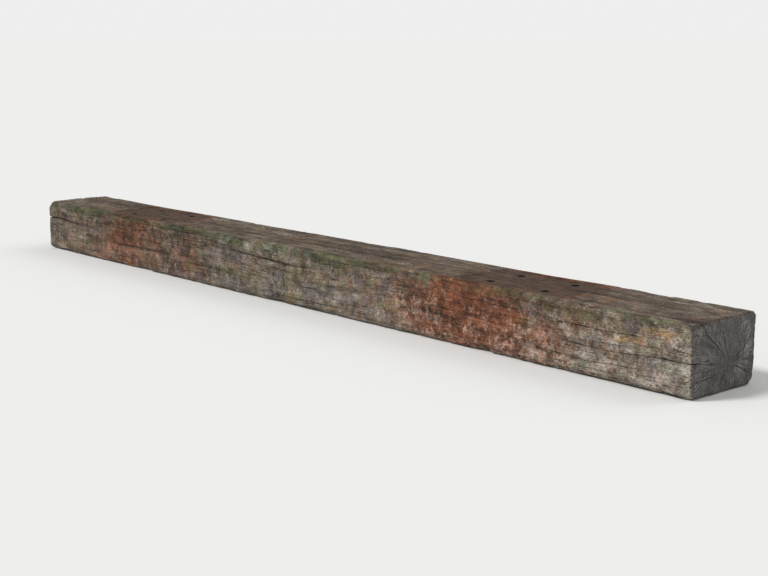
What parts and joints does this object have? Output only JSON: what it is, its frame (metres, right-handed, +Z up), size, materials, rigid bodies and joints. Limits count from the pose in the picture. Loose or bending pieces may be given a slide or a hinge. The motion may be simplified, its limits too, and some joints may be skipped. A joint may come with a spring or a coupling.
{
  "type": "railway sleeper",
  "caption": "Weathered hardwood railway sleeper: a long sawn timber with worn edges, drying cracks, end splits, plate-worn rail seats and empty spike holes.",
  "frame": {"origin": "middle of the bed face, the side that lies on the ballast", "axes": "+X along the timber to the end that is nearer in the picture, -Y out of the side that faces the camera there, +Z up to the side with the rail seats"},
  "size_m": [2.8, 0.24, 0.17],
  "materials": {
    "weathered_hardwood": "bare old hardwood, grey-brown with rust stains, pale mineral streaks and dark cracks, dull all over"
  },
  "bodies": {
    "root": {"sleeper": "weathered_hardwood"}
  },
  "joints": []
}
